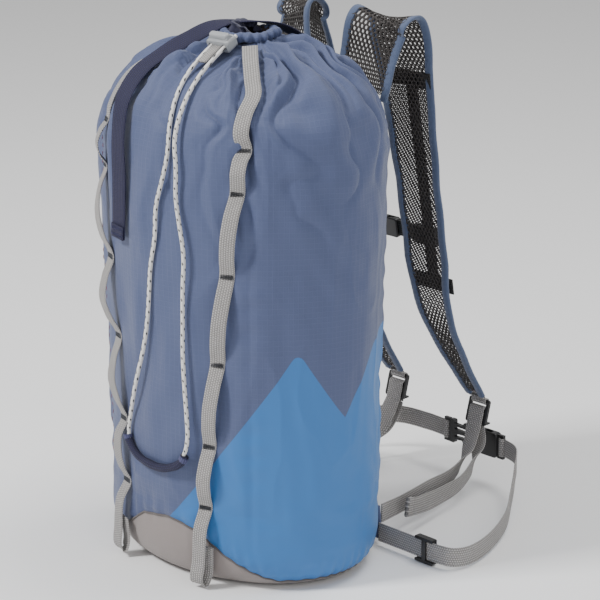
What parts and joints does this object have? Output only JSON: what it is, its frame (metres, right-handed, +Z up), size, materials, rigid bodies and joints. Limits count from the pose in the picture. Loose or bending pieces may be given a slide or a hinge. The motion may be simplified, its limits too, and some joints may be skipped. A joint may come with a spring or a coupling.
{
  "type": "drawstring climbing rucksack",
  "caption": "Drawstring climbing rucksack standing full: oval fabric sack with daisy chains, top strap, cord lock, mesh shoulder straps, sternum strap and waist belt.",
  "frame": {"origin": "centre of the sack's flat base, on the ground", "axes": "+Z up to the mouth, -Y out of the front with the daisy chains, +Y towards the shoulder straps, +X to the right seen from the front"},
  "size_m": [0.3628, 0.4291, 0.5338],
  "materials": {
    "ripstop_blue": "slate blue ripstop weave, softly coated",
    "coated_sky_blue": "sky blue coated plain weave, satin",
    "base_grey": "taupe grey heavy plain weave",
    "piping_dark": "dark folded tape",
    "facing_navy": "dark navy woven facing",
    "cord_fleck": "braided white cord with black flecks",
    "foam": "closed-cell foam sheet",
    "navy_webbing": "navy ribbed webbing",
    "grey_webbing": "light grey ribbed webbing",
    "spacer_mesh": "open hexagonal spacer mesh",
    "binding_blue": "slate blue folded fabric edge",
    "black_webbing": "black flat webbing with red bar tacks",
    "olive_webbing": "dark olive grey webbing",
    "black_plastic": "satin black moulded acetal",
    "grey_plastic": "translucent grey moulded plastic",
    "spring_steel": "drawn wire"
  },
  "bodies": {
    "bag": {"front_panel": "ripstop_blue", "side_panel_left": "ripstop_blue", "side_panel_right": "ripstop_blue", "back_panel": "ripstop_blue", "mountain_panel": "coated_sky_blue", "base_panel": "base_grey", "base_piping": "piping_dark", "mouth_facing": "facing_navy", "drawcord_hem": "ripstop_blue", "hem_cord": "cord_fleck", "back_pad": "foam", "drawcord": "cord_fleck", "pull_tab": "navy_webbing", "strap_yoke": "ripstop_blue", "corner_tab_left": "ripstop_blue", "corner_tab_right": "ripstop_blue", "daisy_chain_left": "grey_webbing", "daisy_chain_right": "grey_webbing", "adjuster_strand_left": "grey_webbing", "adjuster_strand_right": "grey_webbing", "adjuster_tail_left": "grey_webbing", "adjuster_tail_right": "grey_webbing", "waist_belt_left": "grey_webbing", "waist_belt_right": "grey_webbing"},
    "harness": {"shoulder_mesh_left": "spacer_mesh", "shoulder_mesh_right": "spacer_mesh", "shoulder_binding_left": "binding_blue", "shoulder_binding_right": "binding_blue", "centre_webbing_left": "black_webbing", "centre_webbing_right": "black_webbing", "cross_bands_left": "black_webbing", "cross_bands_right": "black_webbing", "lock_loop_left": "grey_webbing", "lock_loop_right": "grey_webbing"},
    "ladder_lock_left": {"ladder_lock_left": "black_plastic", "adjuster_fold_left": "grey_webbing"},
    "ladder_lock_right": {"ladder_lock_right": "black_plastic", "adjuster_fold_right": "grey_webbing"},
    "sternum_strap": {"sternum_slider_left": "black_plastic", "sternum_slider_right": "black_plastic", "sternum_webbing": "olive_webbing", "sternum_buckle_male": "black_plastic", "sternum_buckle_female": "black_plastic"},
    "top_strap": {"top_strap": "navy_webbing"},
    "cord_lock": {"cord_lock_housing": "grey_plastic", "cord_lock_spring": "spring_steel", "cord_lock_tab": "grey_webbing"},
    "cord_lock_plunger": {"cord_lock_plunger": "black_plastic"},
    "waist_buckle_male": {"waist_buckle_male": "black_plastic"},
    "waist_buckle_female": {"waist_buckle_female": "black_plastic"},
    "tri_glide": {"tri_glide": "black_plastic"}
  },
  "joints": [
    {"name": "harness_swing", "type": "hinge", "parent": "bag", "child": "harness", "pos_m": [0, 0.114, 0.446], "axis": [1, 0, 0], "range_deg": [0, 20]},
    {"name": "ladder_lock_left_tilt", "type": "hinge", "parent": "harness", "child": "ladder_lock_left", "pos_m": [-0.06, 0.287, 0.0975], "axis": [1, 0, 0], "range_deg": [0, 35]},
    {"name": "ladder_lock_right_tilt", "type": "hinge", "parent": "harness", "child": "ladder_lock_right", "pos_m": [0.06, 0.287, 0.0975], "axis": [1, 0, 0], "range_deg": [0, 35]},
    {"name": "sternum_slide", "type": "slide", "parent": "harness", "child": "sternum_strap", "axis": [0, -0.173, 0.9849], "range_m": [-0.02, 0.13]},
    {"name": "top_strap_lift", "type": "hinge", "parent": "bag", "child": "top_strap", "pos_m": [0.004, 0.104, 0.48], "axis": [-1, 0, 0], "range_deg": [0, 85]},
    {"name": "cord_lock_slide", "type": "slide", "parent": "bag", "child": "cord_lock", "axis": [0.1096, -0.8909, -0.4407], "range_m": [0, 0.02]},
    {"name": "plunger_press", "type": "slide", "parent": "cord_lock", "child": "cord_lock_plunger", "axis": [-0.0547, 0.4373, -0.8977], "range_m": [0, 0.003], "stiffness_N_per_m": 400, "springref_m": -0.002, "deforming": ["cord_lock_spring"]},
    {"name": "waist_male_swivel", "type": "hinge", "parent": "bag", "child": "waist_buckle_male", "pos_m": [0, 0.301, 0.0465], "axis": [0, 0, 1], "range_deg": [-25, 25]},
    {"name": "waist_female_swivel", "type": "hinge", "parent": "bag", "child": "waist_buckle_female", "pos_m": [0.082, 0.299, 0.0465], "axis": [0, 0, 1], "range_deg": [-25, 15]},
    {"name": "tri_glide_slide", "type": "slide", "parent": "bag", "child": "tri_glide", "axis": [1, 0, 0], "range_m": [-0.03, 0.004]}
  ]
}
